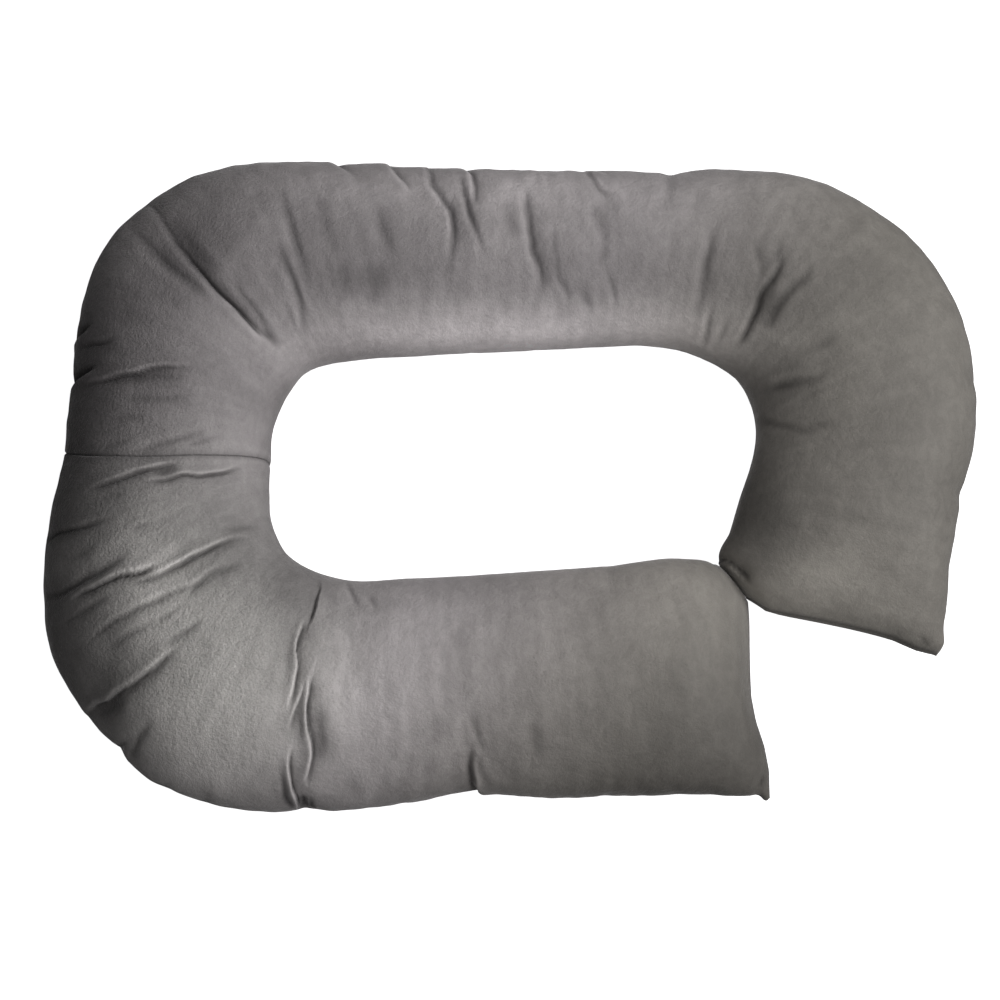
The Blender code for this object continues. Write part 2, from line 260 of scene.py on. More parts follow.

# Painted light and shade: patches where the velvet is painted lighter or darker in place of light and shade,
# with each patch's middle and half widths, in metres, and its tone.
PATCH_COLUMNS = "name x y width depth tone"
PAINTED_LIGHT_PATCHES = table(
    PATCH_COLUMNS,
    ("right_arm", 0.5, 0.06, 0.18, 0.32, 0.6),
    ("short_end", 0.27, -0.43, 0.23, 0.17, 0.42),
    ("left_edge", -0.61, -0.03, 0.07, 0.3, 0.32),
    ("left_edge_high", -0.58, 0.22, 0.07, 0.13, 0.8),
    ("left_edge_low", -0.55, -0.3, 0.06, 0.11, 0.75),
    ("left_seam", -0.46, 0.03, 0.07, 0.06, 1.35),
    ("left_low", -0.58, -0.15, 0.1, 0.05, 1.7),
    ("left_low_inner", -0.46, -0.18, 0.06, 0.05, 1.3),
    ("left_arm", -0.5, 0.13, 0.09, 0.14, 0.75),
    ("top_left", -0.49, 0.35, 0.12, 0.13, 0.78),
    ("top_left_edge", -0.55, 0.3, 0.08, 0.08, 1.65),
    ("top_smudge", -0.2, 0.29, 0.1, 0.08, 0.8),
    ("top_outer", 0.02, 0.41, 0.42, 0.06, 1.6),
    ("top_band", 0.0, 0.26, 0.28, 0.04, 0.82),
    ("top_inner", 0.03, 0.174, 0.33, 0.043, 2.8),
    ("top_middle", -0.03, 0.29, 0.27, 0.15, 1.12),
    ("top_inner_right", 0.2, 0.185, 0.07, 0.05, 1.35),
    ("lower_left", -0.38, -0.25, 0.17, 0.15, 1.42),
    ("lower_left_low", -0.38, -0.34, 0.1, 0.08, 1.3),
    ("lower_left_dip", -0.51, -0.28, 0.05, 0.05, 0.78),
    ("bundle_top", -0.29, -0.17, 0.05, 0.06, 0.6),
    ("bundle_right", -0.21, -0.35, 0.05, 0.09, 1.4),
    ("bundle_side", -0.23, -0.24, 0.05, 0.07, 0.88),
    ("lower_arm", -0.15, -0.29, 0.12, 0.13, 1.4),
    ("lower_inner", 0.06, -0.13, 0.16, 0.04, 1.2),
    ("right_inner", 0.32, -0.09, 0.07, 0.1, 0.42),
    ("left_bend", -0.37, -0.12, 0.05, 0.05, 0.72),
    ("left_inner", -0.36, 0.17, 0.05, 0.11, 0.85),
    ("corner_left", -0.49, 0.225, 0.05, 0.025, 0.85),
    ("right_bend", 0.37, 0.14, 0.07, 0.12, 0.8),
    ("left_fan", -0.46, -0.235, 0.06, 0.035, 1.25),
    ("lower_left_edge", -0.42, -0.42, 0.09, 0.05, 1.2),
    ("left_dark", -0.51, 0.05, 0.06, 0.03, 0.85),
    ("right_arm_light", 0.44, 0.08, 0.05, 0.05, 1.14),
    ("long_end_light", 0.47, -0.115, 0.07, 0.03, 1.13),
    ("long_end_low", 0.47, -0.21, 0.07, 0.03, 1.4),
    ("long_end", 0.37, -0.16, 0.1, 0.05, 2.0),
)

# Where the pile is crumpled, and how many times as strongly as elsewhere.
CRUMPLE_LEAST = 0.45  # how crumpled it is elsewhere
CRUMPLES = table(
    PATCH_COLUMNS,
    ("lower_left", -0.42, -0.26, 0.18, 0.19, 3.4),
    ("left_arm", -0.52, 0.12, 0.1, 0.2, 2.6),
    ("left_low", -0.56, -0.08, 0.1, 0.16, 2.0),
    ("top_left", -0.42, 0.36, 0.16, 0.12, 1.9),
    ("top_arm", -0.05, 0.32, 0.24, 0.12, 1.5),
)

# Where the velvet looks greener: the lower the tone, the more.
GREENED = table(
    PATCH_COLUMNS,
    ("left_low", -0.5, -0.12, 0.14, 0.12, 0.3),
    ("lower_left", -0.4, -0.28, 0.14, 0.14, 0.1),
)

# The velvet: its own values, then the noises that make it uneven. A noise has a size in metres, finer steps
# and their strength, a stretch along y and a distortion, and spreads from low to high over two values.
VELVET = {
    "Roughness": 0.62,
    "Sheen Weight": 0.7,
    "Sheen Roughness": 0.3,
    "Sheen Tint": (0.9, 0.88, 0.9, 1),
    "Specular IOR Level": 0.3,
}
BRUSHED, CRUSHED, GRAIN = table(
    "size detail roughness stretch distortion low high to_low to_high",
    (0.11, 3.0, 0.6, 0.8, 0.6, 0.36, 0.66, 0.93, 1.06),
    (0.016, 4.0, 0.65, 0.7, 0.8, 0.34, 0.68, 0.93, 1.07),
    (0.0024, 2.0, 0.6, 1.0, 0.0, 0.3, 0.7, -0.5, 0.5),
)
GRAIN_TONE = 0.16  # how strongly the grain shows in the tone
# Painted light colour: the tint is cooler on the left and warmer on the right, in place of light of those
# colours falling there.
LEFT_TINT = (0.346, 0.325, 0.332, 1)
RIGHT_TINT = (0.344, 0.325, 0.297, 1)
GREENED_TINT = (0.333, 0.325, 0.314, 1)
TINT_SLANT = 0.5  # how far the change from the left to the right tint leans over
TINT_FROM, TINT_TO = -0.05, 0.4  # where that change begins and ends, in metres

# The relief of the pile, finest first, with its height in metres and whether it is stronger where the pile
# is crumpled.
RELIEFS = table(
    "name size detail roughness strength height crumpled",
    ("pile", 0.0026, 3.0, 0.7, 0.6, 0.0012, True),
    ("pebble", 0.005, 3.0, 0.7, 0.7, 0.003, True),
    ("crush", 0.016, 3.0, 0.6, 0.5, 0.0022, False),
)

FLOOR_SIZE = 60  # metres
FLOOR_GREY = (0.92, 0.92, 0.92, 1)
FLOOR_ROUGHNESS = 0.9
FLOOR_GLOW = 0.97
WHITE = (1, 1, 1, 1)
WORLD_STRENGTH = 0.03

# A soft light: where it is and where it points, its two sides, all in metres, and its power in watts.
LIGHT_COLOUR = (1.0, 0.99, 0.98)
LIGHTS = table(
    "name place aim width depth power",
    ("key", (2.95, -0.15, 3.05), (0, 0, 0.08), 4.0, 2.6, 80),
    ("low", (3.55, 0.5, 2.0), (0, 0, 0.08), 2.0, 1.4, 33),
    ("front", (0, -3.6, 2.2), (0, 0, 0.08), 1.6, 1.4, 19),
    ("back", (0.5, 3.6, 2.0), (0, 0, 0.08), 2.0, 1.4, 14),
    ("inner", (0, -0.28, 0.8), (0, 0.25, 0.05), 0.8, 0.3, 0.9),
    ("inner_back", (0, 0.3, 0.8), (0, -0.25, 0.05), 0.8, 0.3, 0.6),
)

# A fold's half width, the ridges on its left and right as shares of its depth, its softness (1 sharp,
# 2 round), its depths at even steps along it (negative is a ridge), and its path in the photo's pixels.
FOLDS = table(
    "name width left right softness depths path",
    ("corner_main", 5, 0.05, 0.4, 1.3, (0, 3, 6.5, 7, 6, 4, 0),
     ((140, 196), (156, 212), (183, 252), (206, 279), (239, 311), (256, 328), (279, 348))),
    ("corner_line", 2.2, 0, 0.3, 1.4, (0, 4, 7, 9, 9, 8, 6, 0),
     ((176, 241), (188, 257), (202, 274), (214, 287.5), (226, 300), (240, 314), (252, 327), (262, 338))),
    ("corner_slope", 13, 0, 0, 2, (0, 5, 0), ((168, 212), (193, 247), (216, 276))),
    ("corner_left", 8, 0.1, 0.25, 1.7, (0, 4, 6, 5, 0),
     ((128, 226), (146, 243), (168, 264), (190, 284), (206, 299))),
    ("corner_second", 6, 0.1, 0.3, 1.6, (0, 2, 2.5, 3, 0),
     ((231, 260), (236, 281), (246, 299), (261, 319), (277, 346))),
    ("corner_third", 5, 0.2, 0.2, 1.6, (0, 4, 0), ((261, 325), (270, 336), (279, 347))),
    ("top_1", 7, 0.1, 0.35, 1.5, (0, 3, 4.5, 5, 4, 2.5, 0),
     ((280, 188), (284, 202), (289, 221), (295.5, 242), (299, 258), (304, 272), (308, 297))),
    ("top_2", 6, 0.25, 0.3, 1.5, (0, 3, 5, 5, 4.5, 3, 0),
     ((276, 243), (284, 262), (291, 277), (296, 292), (299, 303), (303, 327), (306, 345))),
    ("top_2_low", 5, 0.2, 0.2, 1.6, (0, 3, 0), ((285, 300), (291, 318), (298, 338))),
    ("top_soft_1", 10, 0.1, 0.2, 1.9, (0, 2.5, 2.5, 0), ((317, 192), (321, 210), (326, 230), (335, 258))),
    ("top_3", 8, 0.1, 0.25, 1.7, (0, 3, 4, 0), ((375, 200), (379, 214), (385, 234), (391, 256))),
    ("top_dent_1", 14, 0, 0, 2, (0, 3, 0), ((371, 255), (378, 278), (371, 308))),
    ("top_dent_2", 13, 0, 0, 2, (0, 3, 0), ((338, 252), (342, 280), (340, 306))),
    ("edge_1", 5, 0.1, 0.3, 1.5, (6, 5, 2, 0), ((337, 157), (343, 165), (351, 172), (360, 184))),
    ("edge_2", 4.5, 0.1, 0.55, 1.4, (4, 5, 4, 0), ((389, 160), (396, 170), (404, 180), (412, 192))),
    ("top_4", 5.5, 0.1, 0.35, 1.4, (3, 5, 6, 7, 9, 9, 7, 4, 0),
     ((428, 162), (431, 173), (433, 184), (442, 198), (449, 208), (452.5, 221), (453.5, 234), (451.5, 250),
      (450, 272))),
    ("top_5", 5, 0.15, 0.25, 1.4, (0, 5, 7, 8, 5, 3, 0),
     ((460, 174), (463, 190), (466.5, 204), (470, 216), (475, 229), (481, 243), (486, 258))),
    ("top_5_edge", 4, 0.1, 0.4, 1.4, (5, 6, 6, 4, 0),
     ((466, 162), (470, 170), (474, 180), (475, 193), (480, 206))),
    ("top_soft_2", 9, 0.1, 0.1, 1.9, (0, 2.5, 0), ((504, 198), (509, 220), (512, 242))),
    ("top_ridge", 5, 0, 0, 1.8, (0, -2, 0), ((537, 168), (540, 178), (544, 192))),
    ("top_6", 6, 0.1, 0.3, 1.4, (0, 4, 6, 7.5, 6.5, 3.5, 0),
     ((525, 186), (527, 203), (529, 221), (531.5, 246), (536.5, 259), (540, 275), (539.5, 293))),
    ("top_7", 5, 0.1, 0.25, 1.5, (0, 1.5, 2, 3, 3, 0),
     ((553, 226), (554.5, 240), (556, 258), (559, 278), (564, 288), (570, 300))),
    ("top_8", 6, 0.2, 0.2, 1.6, (0, 3, 0), ((581, 283), (585, 299), (591, 313))),
    ("top_9", 5, 0.2, 0.35, 1.5, (0, 2.5, 3.5, 0), ((605, 262), (609, 276), (613, 290), (617, 309))),
    ("top_soft_3", 7, 0.1, 0.2, 1.8, (0, 1.5, 0), ((588, 204), (594, 216), (602, 234))),
    ("edge_pucker_1", 4.5, 0.6, 0.1, 1.5, (1, 2.5, 3, 0), ((587, 171), (594, 181), (601, 189), (610, 195))),
    ("edge_pucker_2", 4, 0.1, 0.4, 1.6, (2.5, 2, 0), ((592, 165), (602, 172), (616, 183))),
    ("bend_main", 5.5, 0.1, 0.22, 1.3, (0, 3, 4, 7, 9, 11, 11, 7, 0),
     ((782, 238), (778, 252), (781, 262), (774.5, 275), (765, 287), (758, 301), (752, 317), (744, 335),
      (733, 350))),
    ("bend_broad", 14, 0, 0, 2, (0, 3.5, 0), ((777, 284), (768, 306), (757, 332))),
    ("bend_second", 8, 0.1, 0.25, 1.7, (0, 3, 5, 5, 4, 0),
     ((817, 262), (803, 278), (789, 291), (780, 304), (772, 318), (765, 332))),
    ("bend_left_1", 6, 0.1, 0.3, 1.6, (0, 3, 3, 0), ((751, 236), (757, 252), (760, 268), (754, 290))),
    ("bend_left_2", 8, 0.1, 0.3, 1.7, (0, 3, 4, 4, 2, 0),
     ((712, 224), (709, 243), (706, 262), (703, 284), (697, 308), (692, 322))),
    ("bend_left_3", 5, 0.2, 0.3, 1.5, (0, 3, 3, 0), ((713, 303), (708, 322), (706, 338), (702, 351))),
    ("bend_left_4", 5, 0.2, 0.2, 1.6, (0, 2, 0), ((728, 316), (723, 332), (716, 348))),
    ("bend_low", 7, 0.3, 0.1, 1.5, (2, 6, 4, 0), ((764, 390), (782, 385), (803, 381), (826, 377))),
    ("bend_faint", 8, 0.1, 0.1, 1.8, (0, 2.5, 0), ((806, 347), (824, 343), (844, 333))),
    ("right_inner_1", 6, 0.2, 0.2, 1.6, (3, 4, 3, 0), ((761, 421), (780, 425), (800, 430), (826, 435))),
    ("right_inner_2", 6, 0.1, 0.2, 1.7, (0, 2.5, 0), ((804, 424), (820, 426), (839, 429))),
    ("long_end_corner", 2.6, 0, 0.45, 1.4, (5, 9, 11, 11, 10, 0),
     ((719, 563), (726, 563), (732, 566), (737, 571.5), (742, 576.5), (749, 582))),
    ("long_end_tuck", 4.5, 0, 0, 1.8, (0, 4, 6, 0), ((735, 565), (741, 571), (746, 577), (752, 583))),
    ("short_ear", 3, 0.2, 0.2, 1.5, (0, 6, 3), ((764, 774), (762.5, 780), (761, 786))),
    ("long_ear", 4, 0.1, 0.1, 1.6, (0, 4, 2), ((919, 634), (924, 640), (928, 646))),
    ("left_1", 5, 0.3, 0.1, 1.5, (3, 6, 5, 0), ((79, 346), (90, 344), (103, 343), (119, 336))),
    ("left_lip", 3.2, 0, 0.5, 1.4, (5, 9, 7, 0), ((69, 386), (76, 379), (85, 372), (99, 364))),
    ("left_lip_2", 3, 0, 0.5, 1.4, (4, 7, 0), ((74, 341), (82, 332), (91, 322))),
    ("left_2", 3.2, 0.55, 0, 1.35, (1, 5, 8, 10, 10, 8, 6, 3, 0),
     ((78, 384), (95, 382), (110, 377.5), (122, 375.5), (133, 374), (146, 370), (160, 368), (178, 367),
      (193, 367))),
    ("left_2_over", 6, 0, 0, 1.8, (0, 2.5, 2.5, 0), ((118, 383), (140, 379), (165, 377), (190, 378))),
    ("left_ridge", 4, 0, 0, 1.8, (0, -2, 0), ((80, 318), (90, 312), (105, 308))),
    ("left_soft_1", 4.5, 0.25, 0.05, 1.6, (0, 3.5, 4, 3.5, 0),
     ((132, 451), (148, 446), (164, 441.5), (182, 437), (204, 431))),
    ("left_soft_2", 4.5, 0.1, 0.1, 1.7, (0, 2.5, 0), ((180, 447), (202, 442), (224, 435))),
    ("left_soft_3", 6, 0.1, 0.1, 1.7, (0, 3, 0), ((97, 451), (116, 443), (133, 438))),
    ("left_soft_4", 5, 0.1, 0.1, 1.7, (0, 2, 0), ((108, 420), (130, 417), (152, 418))),
    ("left_soft_5", 6, 0.15, 0.1, 1.7, (0, 2.5, 2.5, 0), ((118, 402), (142, 398), (170, 399), (196, 396))),
    ("below_1", 3, 0.5, 0.05, 1.35, (0, 6, 9, 10, 9, 7, 0),
     ((85, 492), (98, 485), (112, 480.8), (128, 474.5), (145, 470.3), (160, 467.3), (177, 464))),
    ("below_1_end", 5, 0, 0, 1.7, (0, 5, 0), ((150, 473), (164, 470.5), (180, 465))),
    ("below_2", 2.8, 0.45, 0.05, 1.4, (0, 4, 6, 7, 7, 7, 5, 0),
     ((142, 484), (155, 481), (168, 478), (187, 474.3), (202, 475.8), (217, 473), (229, 470.5), (242, 467))),
    ("below_3", 3.4, 0.35, 0.05, 1.4, (3, 7, 8, 7, 4, 0),
     ((47, 538), (60, 531.5), (73, 528.3), (84, 526), (98, 522.5), (114, 518))),
    ("below_4", 3.6, 0.3, 0.1, 1.5, (0, 4, 0), ((131, 528), (139, 525.5), (150, 521))),
    ("below_soft_1", 6, 0.1, 0.1, 1.7, (0, 2.5, 0), ((96, 503), (112, 497), (130, 493))),
    ("below_soft_2", 7, 0.1, 0.1, 1.7, (0, 2.5, 0), ((60, 561), (80, 555), (102, 545))),
    ("inner_soft", 5, 0.1, 0.1, 1.7, (0, 3, 0), ((218, 531), (240, 528.5), (262, 526.5))),
    ("low_left_1", 6, 0.1, 0.1, 1.6, (4, 8, 10, 10, 9, 6, 0),
     ((46, 597), (57, 593), (69, 587), (80, 581.5), (98, 572), (115, 562.5), (130, 554))),
    ("low_left_2", 3, 0.6, 0, 1.3, (2, 7, 10, 11, 12, 12, 11, 8, 0),
     ((72, 598), (81, 592), (90, 588), (99, 583.5), (107, 580.3), (123, 575), (136, 572.6), (148, 569.8),
      (154, 568))),
    ("low_left_3", 3, 0.55, 0, 1.35, (0, 5, 9, 10, 11, 10, 9, 8, 6, 3, 0),
     ((128, 584.5), (140, 581), (157, 575), (170, 568), (183, 561.7), (197, 554), (205, 549.5), (213, 545.3),
      (225, 540.8), (237, 539), (256, 540))),
    ("low_left_3_loop", 3, 0, 0, 1.7, (0, -3, 0), ((148, 570), (152, 568.5), (155, 570))),
    ("low_left_4", 4, 0.35, 0.05, 1.5, (0, 5, 6, 6, 6, 5, 4, 0),
     ((86, 641), (102, 629), (116, 620), (138, 609), (157, 600.5), (174, 592), (196, 584.5), (212, 578))),
    ("low_left_4b", 5, 0.2, 0.1, 1.6, (0, 4, 4, 0), ((100, 652), (118, 642), (140, 629), (160, 617))),
    ("low_left_4c", 5, 0.2, 0.1, 1.6, (0, 4, 4, 0), ((60, 625), (76, 616), (94, 604), (112, 596))),
    ("low_left_5", 3.8, 0.3, 0.05, 1.5, (0, 3, 5, 5, 4, 0),
     ((187, 601), (192, 590), (198, 582), (208, 574.5), (222, 567), (238, 561))),
    ("low_left_5b", 3.8, 0.25, 0.05, 1.5, (0, 3, 3, 0), ((205, 582), (217, 573), (233, 566), (248, 563))),
    ("low_left_6", 4.2, 0.25, 0.05, 1.6, (0, 5, 5, 0), ((163, 645), (176, 636), (190, 629), (204, 621))),
    ("low_left_6b", 4.5, 0.2, 0.1, 1.6, (0, 4, 0), ((150, 628), (166, 616), (184, 606))),
    ("low_left_7", 3.6, 0.6, 0, 1.35, (1, 8, 11, 12, 11, 10, 7, 0),
     ((84, 714), (94, 707), (103, 702), (115, 694.5), (132, 683.5), (148, 672), (164, 659.5), (178, 650))),
    ("low_left_7b", 8, 0, 0, 1.8, (0, 6, 0), ((92, 719), (108, 711), (126, 700))),
    ("low_left_8", 6, 0.3, 0.1, 1.5, (4, 5, 4, 0), ((128, 757), (133, 748), (143, 732), (157, 717))),
    ("low_left_9", 5, 0.2, 0.1, 1.5, (6, 3, 0), ((113, 752), (122, 745), (134, 736))),
    ("low_left_10", 6, 0.1, 0.1, 1.6, (5, 2, 0), ((161, 797), (165, 788), (171, 778))),
    ("low_left_11", 6, 0.1, 0.1, 1.6, (4, 1.5, 0), ((203, 808), (206, 799), (212, 789))),
    ("bundle_1", 2.6, 0.4, 0.05, 1.35, (1, 5, 7, 8, 3),
     ((320.5, 583), (318.5, 594), (315.5, 603), (313, 612), (310.5, 621))),
    ("bundle_hook", 3.5, 0, 0, 1.8, (0, -3, 0), ((302, 618), (305, 615.5), (308, 618))),
    ("bundle_2", 2.7, 0, 0.6, 1.35, (3, 8, 11, 12, 12, 11, 10, 8, 5, 0),
     ((305, 624), (302.5, 629), (299.5, 638), (297.3, 649), (297.7, 660), (297, 670), (294.5, 682.5),
      (292.5, 692.5), (291, 702), (288, 714))),
    ("bundle_2_left", 5, 0, 0, 1.8, (0, 2, 0), ((291, 632), (288.5, 655), (287, 678))),
    ("bundle_3", 2.1, 0, 0.6, 1.4, (0, 5, 7, 6, 4, 0),
     ((304, 683), (301, 693), (298.5, 701), (295, 712), (291.5, 723), (289, 732))),
    ("bundle_mid", 4.2, 0, 0, 1.8, (0, 4, 4, 0), ((300.5, 698), (299, 715), (300, 730), (301, 744))),
    ("bundle_4", 3.2, 0, 0.6, 1.35, (2, 7, 10, 12, 12, 12, 12, 11, 9, 6, 0),
     ((312, 676), (309.5, 688), (307.5, 700), (307, 717), (308.3, 731), (310.5, 741), (312.8, 750),
      (312.3, 758), (310, 768), (307.5, 778), (306.5, 786))),
    ("bundle_4_broad", 8, 0, 0, 1.9, (0, 4, 4, 0), ((318, 700), (320, 725), (322, 748), (318, 768))),
    ("bundle_5", 2.4, 0.15, 0.6, 1.4, (1, 6, 8, 9, 9, 9, 7),
     ((291.5, 752), (290, 761), (290.2, 771), (291.3, 781), (293.6, 792), (296.2, 802), (298.2, 812))),
    ("bundle_6", 4, 0.1, 0.1, 1.6, (0, 4, 6, 7), ((283, 762), (281.5, 780), (283.5, 795), (288, 810))),
    ("bundle_pit", 4.2, 0.1, 0, 1.6, (0, 7, 10), ((301, 797), (304, 806), (306, 816))),
    ("bundle_wedge", 3.4, 0.1, 0.1, 1.6, (9, 4, 0), ((312.5, 818), (311.5, 808), (309, 797))),
    ("arm_small_1", 4, 0.2, 0.2, 1.5, (2, 4, 0), ((347, 582), (352, 594), (361, 612))),
    ("arm_small_2", 4.5, 0.2, 0.2, 1.5, (0, 3, 0), ((367, 592), (372, 601), (378, 610))),
    ("pucker_1", 5, 0.15, 0.5, 1.4, (10, 9, 7, 5, 0),
     ((478, 800), (474, 790), (471, 775), (471, 762), (473, 746))),
    ("pucker_2", 6, 0.2, 0.2, 1.6, (0, 3, 0), ((469, 711), (476, 731), (486, 760))),
    ("pucker_3", 6, 0.2, 0.2, 1.6, (0, 3, 1), ((476, 751), (481, 770), (489, 790))),
    ("arm_soft_1", 10, 0.1, 0.1, 1.9, (0, 2, 0), ((434, 713), (436, 732), (438, 752))),
    ("arm_soft_2", 12, 0.1, 0.1, 1.9, (0, 2, 0), ((529, 717), (537, 742), (545, 769))),
)


def bell(away, power=2):
    """1 at 0 and less to both sides of it: pointed for a power near 1, flat-topped for one of 4."""
    return np.exp(-(np.abs(away) ** power))


def eased(share):
    """A share between 0 and 1 that starts and ends softly."""
    share = np.clip(share, 0, 1)
    return share * share * (3 - 2 * share)


def spline(knots, values, at):
    """A smooth curve through values at knots, read at the given places. A value may be a grid of numbers."""
    slopes = np.gradient(values, knots, axis=0)
    i = np.clip(np.searchsorted(knots, at, side="right") - 1, 0, len(knots) - 2)
    each = (...,) + (None,) * (values.ndim - 1)
    span = (knots[i + 1] - knots[i])[each]
    t = (at - knots[i])[each] / span
    rise = values[i + 1] - values[i]
    start = slopes[i] * span - rise
    end = rise - slopes[i + 1] * span
    return values[i] + t * rise + t * (1 - t) * (start * (1 - t) + end * t)


def row_stations():
    """How far along the tube each row of SECTIONS lies, measured down its middle."""
    middle = (ROWS[:, 0:2] + ROWS[:, 2:4]) / 2
    steps = np.linalg.norm(np.diff(middle, axis=0), axis=1)
    return np.concatenate([[0.0], np.cumsum(steps)])


KNOTS = row_stations()
LENGTH = KNOTS[-1]
SEAM_AT = KNOTS[CROSS_SEAM_ROW]


def spaced(start, end):
    """Places between start and end, as far apart as STEP_SHARE, SECTIONS and CLOSER ask."""
    fine = np.linspace(start, end, SPACING_SAMPLES)
    density = 1 / (STEP_SHARE * np.interp(fine, KNOTS, ROWS[:, 5]))
    for place in CLOSER:
        density *= 1 + place.more * bell((fine - place.at) / place.reach, CLOSER_FLATNESS)
    count = np.concatenate([[0.0], np.cumsum((density[1:] + density[:-1]) / 2 * np.diff(fine))])
    return np.interp(np.linspace(0, count[-1], round(count[-1]) + 1)[1:-1], count, fine)


def stations():
    """Where the fine loft's sections lie along the tube: close at the ends and at the cross seam."""
    ends = np.array(END_STEPS)
    seam = SEAM_AT + np.array(CROSS_SEAM_STEPS)
    before = spaced(ends[-1], seam[0])
    after = spaced(seam[-1], LENGTH - ends[-1])
    return np.concatenate([ends, before, seam, after, LENGTH - ends[::-1]])


def ring_angles():
    """Angles round a section, from the outer edge over the crown and back underneath."""
    top = np.linspace(0, np.pi, TOP_ANGLES)
    side = np.radians(SIDE_ANGLES)
    under = np.linspace(np.pi + side[-1], 2 * np.pi - side[-1], UNDER_ANGLES)[1:-1]
    return np.concatenate([top, np.pi + side, under, 2 * np.pi - side[::-1]])


def rise_from_end(along):
    """0 at a sewn end, 1 where the tube is full."""
    near = np.clip(np.minimum(along, LENGTH - along) / END_LENGTH, 0, 1)
    return np.sin(np.pi / 2 * near**END_SHARPNESS)


def end_fade(from_end):
    """1 at a sewn end, 0 once past it."""
    return eased(1 - from_end / END_LINE_FADE)


def cover_at(along, angle):
    """Points of the smooth cover at places (along, angle), in millimetres. The two arrays broadcast."""
    along, angle = np.broadcast_arrays(along, angle)
    outer_x, outer_y, inner_x, inner_y, crown, _ = (spline(KNOTS, column, along) for column in ROWS.T)
    full = rise_from_end(along)
    across, up = np.cos(angle), np.sin(angle)
    profile = np.sign(up) * np.abs(up) ** CROWN_FULLNESS
    middle = END_HEIGHT + (EDGE_HEIGHT - END_HEIGHT) * full - EAR_DROP * (1 - full) * across**EAR_SHARPNESS
    reach = np.where(up > 0, (crown - EDGE_HEIGHT) * full, EDGE_HEIGHT * FLOOR_PRESS * full)
    height = np.maximum(middle + profile * (reach + CLOTH_EDGE), 0)
    half_x, half_y = (outer_x - inner_x) / 2, (outer_y - inner_y) / 2
    size = np.hypot(half_x, half_y)
    stand_out = end_fade(along) * np.interp(across, END_PLACES, SHORT_ARM_END)
    stand_out = stand_out - end_fade(LENGTH - along) * np.interp(across, END_PLACES, LONG_ARM_END)
    x = (outer_x + inner_x) / 2 + across * half_x - stand_out * half_y / size + CENTRE[0]
    y = (outer_y + inner_y) / 2 + across * half_y + stand_out * half_x / size + CENTRE[1]
    return np.stack([x, y, height], -1)


def bowed(at, angle):
    """Places along the tube, drawn along it so that the cross seam slants and sags as it was sewn."""
    drawn = CROSS_SEAM_SLANT * np.cos(angle) - CROSS_SEAM_BOW * np.maximum(np.sin(angle), 0)
    return at + drawn * bell((at - SEAM_AT) / CROSS_SEAM_BOW_REACH)


def outward(points):
    """The direction square to the cover at each point of a grid, away from the filling."""
    along = np.gradient(points, axis=0)
    around = np.roll(points, -1, axis=1) - np.roll(points, 1, axis=1)
    square = np.cross(along, around)
    square /= np.maximum(np.linalg.norm(square, axis=2), TINY)[..., None]
    middle = len(points) // 2
    return square * np.sign(square[middle, points[middle, :, 2].argmax(), 2])


def sight():
    """Where the camera stands, the direction it looks in, and the direction that is up in its picture."""
    elevation = np.radians(ELEVATION)
    onward = np.array([0, np.cos(elevation), -np.sin(elevation)])
    upward = np.array([0, np.sin(elevation), np.cos(elevation)])
    return np.array(AIM) - onward * DISTANCE, onward, upward


def in_photo(points):
    """Where the camera sees points of the cover: pixels from the photo's left, and from its top."""
    eye, onward, upward = sight()
    away = points * MM - eye
    offset = np.stack([away[..., 0], -(away @ upward)], -1) / (away @ onward)[..., None]
    return PHOTO_SIZE * (0.5 + LENS / SENSOR * offset)


def seen_places():
    """Places, in millimetres and degrees, that face the camera, and a tree of where the photo has them."""
    along, angle = np.arange(0.0, LENGTH), np.arange(-90.0, 270.0)
    points = cover_at(along[:, None], np.radians(angle))
    facing = (outward(points) * (sight()[0] / MM - points)).sum(axis=2) > 0
    seen = kdtree.KDTree(int(facing.sum()))
    for number, (x, y) in enumerate(in_photo(points[facing])):
        seen.insert((x, y, 0), number)
    seen.balance()
    rows, columns = np.nonzero(facing)
    return np.stack([along[rows], angle[columns]], -1), seen


Traced = namedtuple("Traced", "fold line leftward depth")


def traced(fold, places, seen):
    """A fold with the points along it, the direction to its left over the cover, and its depth at each."""
    path = np.array([places[seen.find((x, y, 0))[1]] for x, y in fold.path])
    knots = np.arange(len(path), dtype=float)
    t = np.linspace(0, knots[-1], FOLD_POINTS * (len(path) - 1))
    along = spline(knots, path[:, 0], t)
    angle = np.radians(spline(knots, path[:, 1], t))
    depth = spline(np.linspace(0, knots[-1], len(fold.depths)), np.array(fold.depths, float), t)
    line = cover_at(along, angle)
    ahead, beside = cover_at(along + NUDGE_ALONG, angle), cover_at(along, angle + NUDGE_AROUND)
    square = np.cross(ahead - line, beside - line)
    square /= np.linalg.norm(square, axis=1)[:, None]
    onward = np.gradient(line, axis=0)
    onward /= np.linalg.norm(onward, axis=1)[:, None]
    return Traced(fold, line, np.cross(onward, square), depth)


def noise_at(places, size=1.0, shift=(0, 0, 0)):
    """A smooth noise at each place, for an unevenness of that size."""
    shift = Vector(shift)
    values = [noise.noise(Vector(place) / size + shift) for place in places.reshape(-1, 3)]
    return np.array(values).reshape(places.shape[:-1])


def wander(places):
    """How far the folds are shifted at each place, so that none of them runs too evenly."""
    return WAVER * np.stack([noise_at(places, WAVER_SIZE, shift) for shift in WAVER_SHIFTS], -1)


def rolled_out(at, angle, spacing, run):
    """Places for a noise of lines across the tube: their spacing, and how often one breaks up on its way."""
    s, a = np.broadcast_arrays(at[:, None], angle[None, :])
    return np.stack([s / spacing, np.cos(a) * run, np.sin(a) * run], -1)


